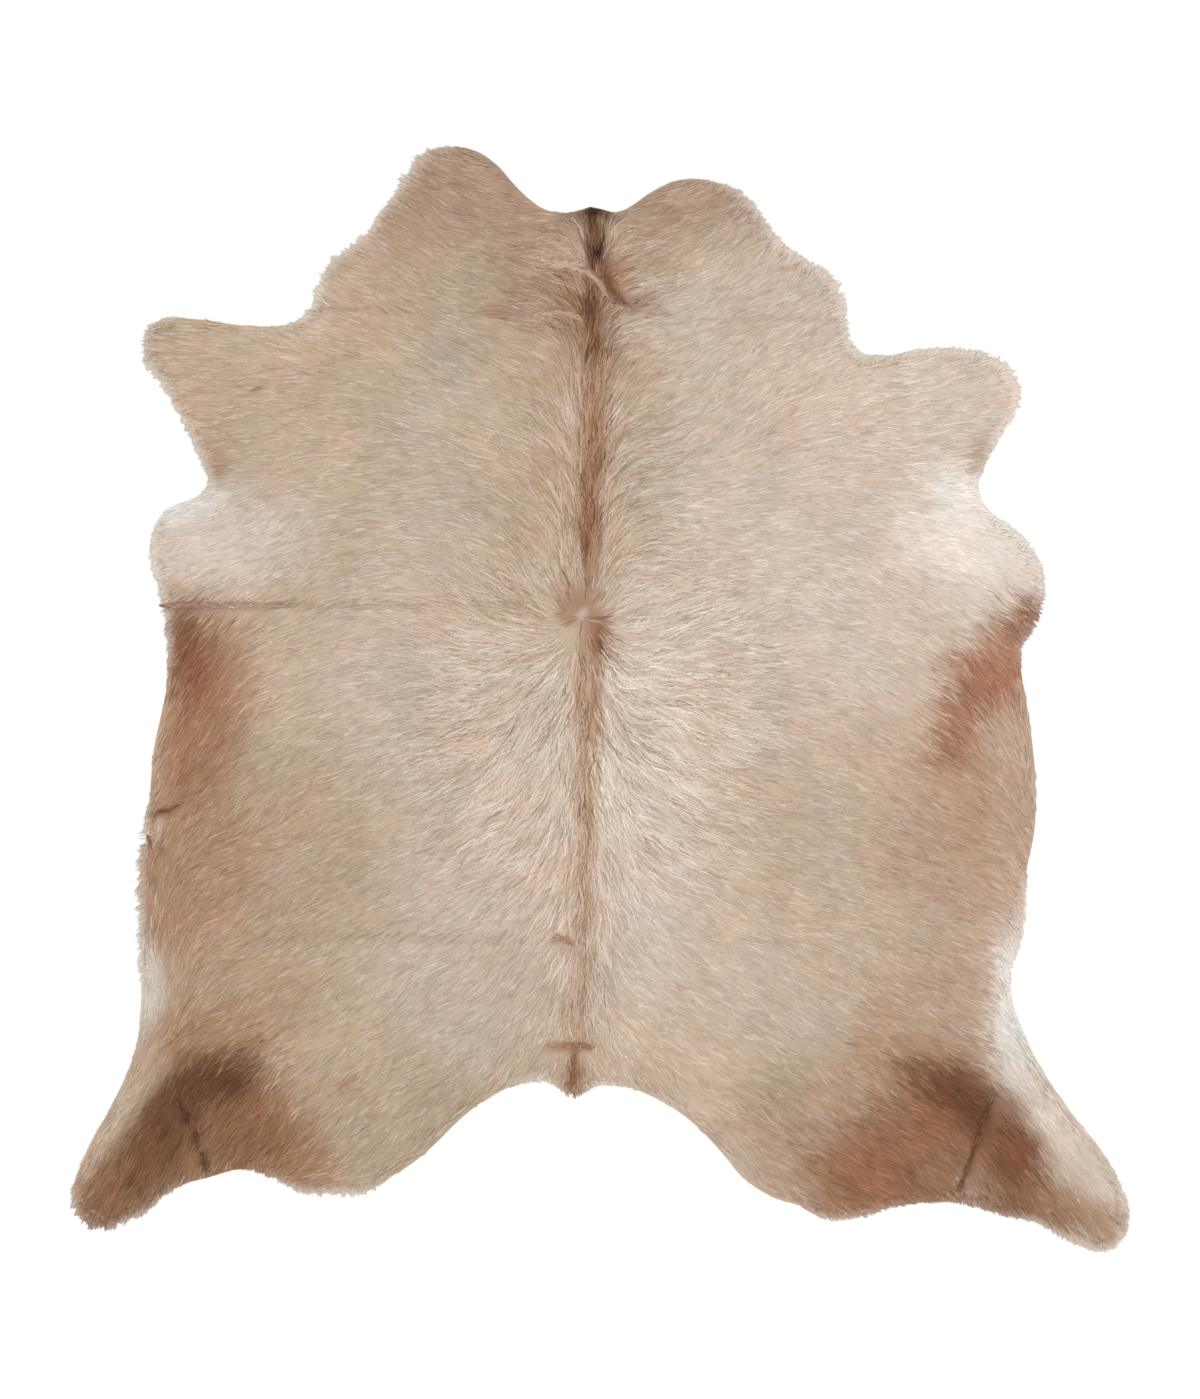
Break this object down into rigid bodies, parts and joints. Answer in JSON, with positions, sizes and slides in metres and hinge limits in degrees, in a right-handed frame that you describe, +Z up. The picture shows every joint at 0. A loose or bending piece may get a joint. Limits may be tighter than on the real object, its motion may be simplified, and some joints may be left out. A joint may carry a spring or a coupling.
{
  "type": "cowhide rug",
  "caption": "Flat hair-on hide rug in a natural whole-skin outline, with neck, leg and tail shapes, hair locks at the rim and faint packing folds.",
  "frame": {"origin": "on the floor, under the middle of the rug's bounding box", "axes": "+Y along the spine towards the neck, +X to the right as seen from above with the neck up, +Z up out of the hair"},
  "size_m": [2.1206, 2.2156, 0.0135],
  "materials": {
    "hide": "short lying hair, beige with brown spine and hocks"
  },
  "bodies": {
    "root": {"hide": "hide"}
  },
  "joints": []
}
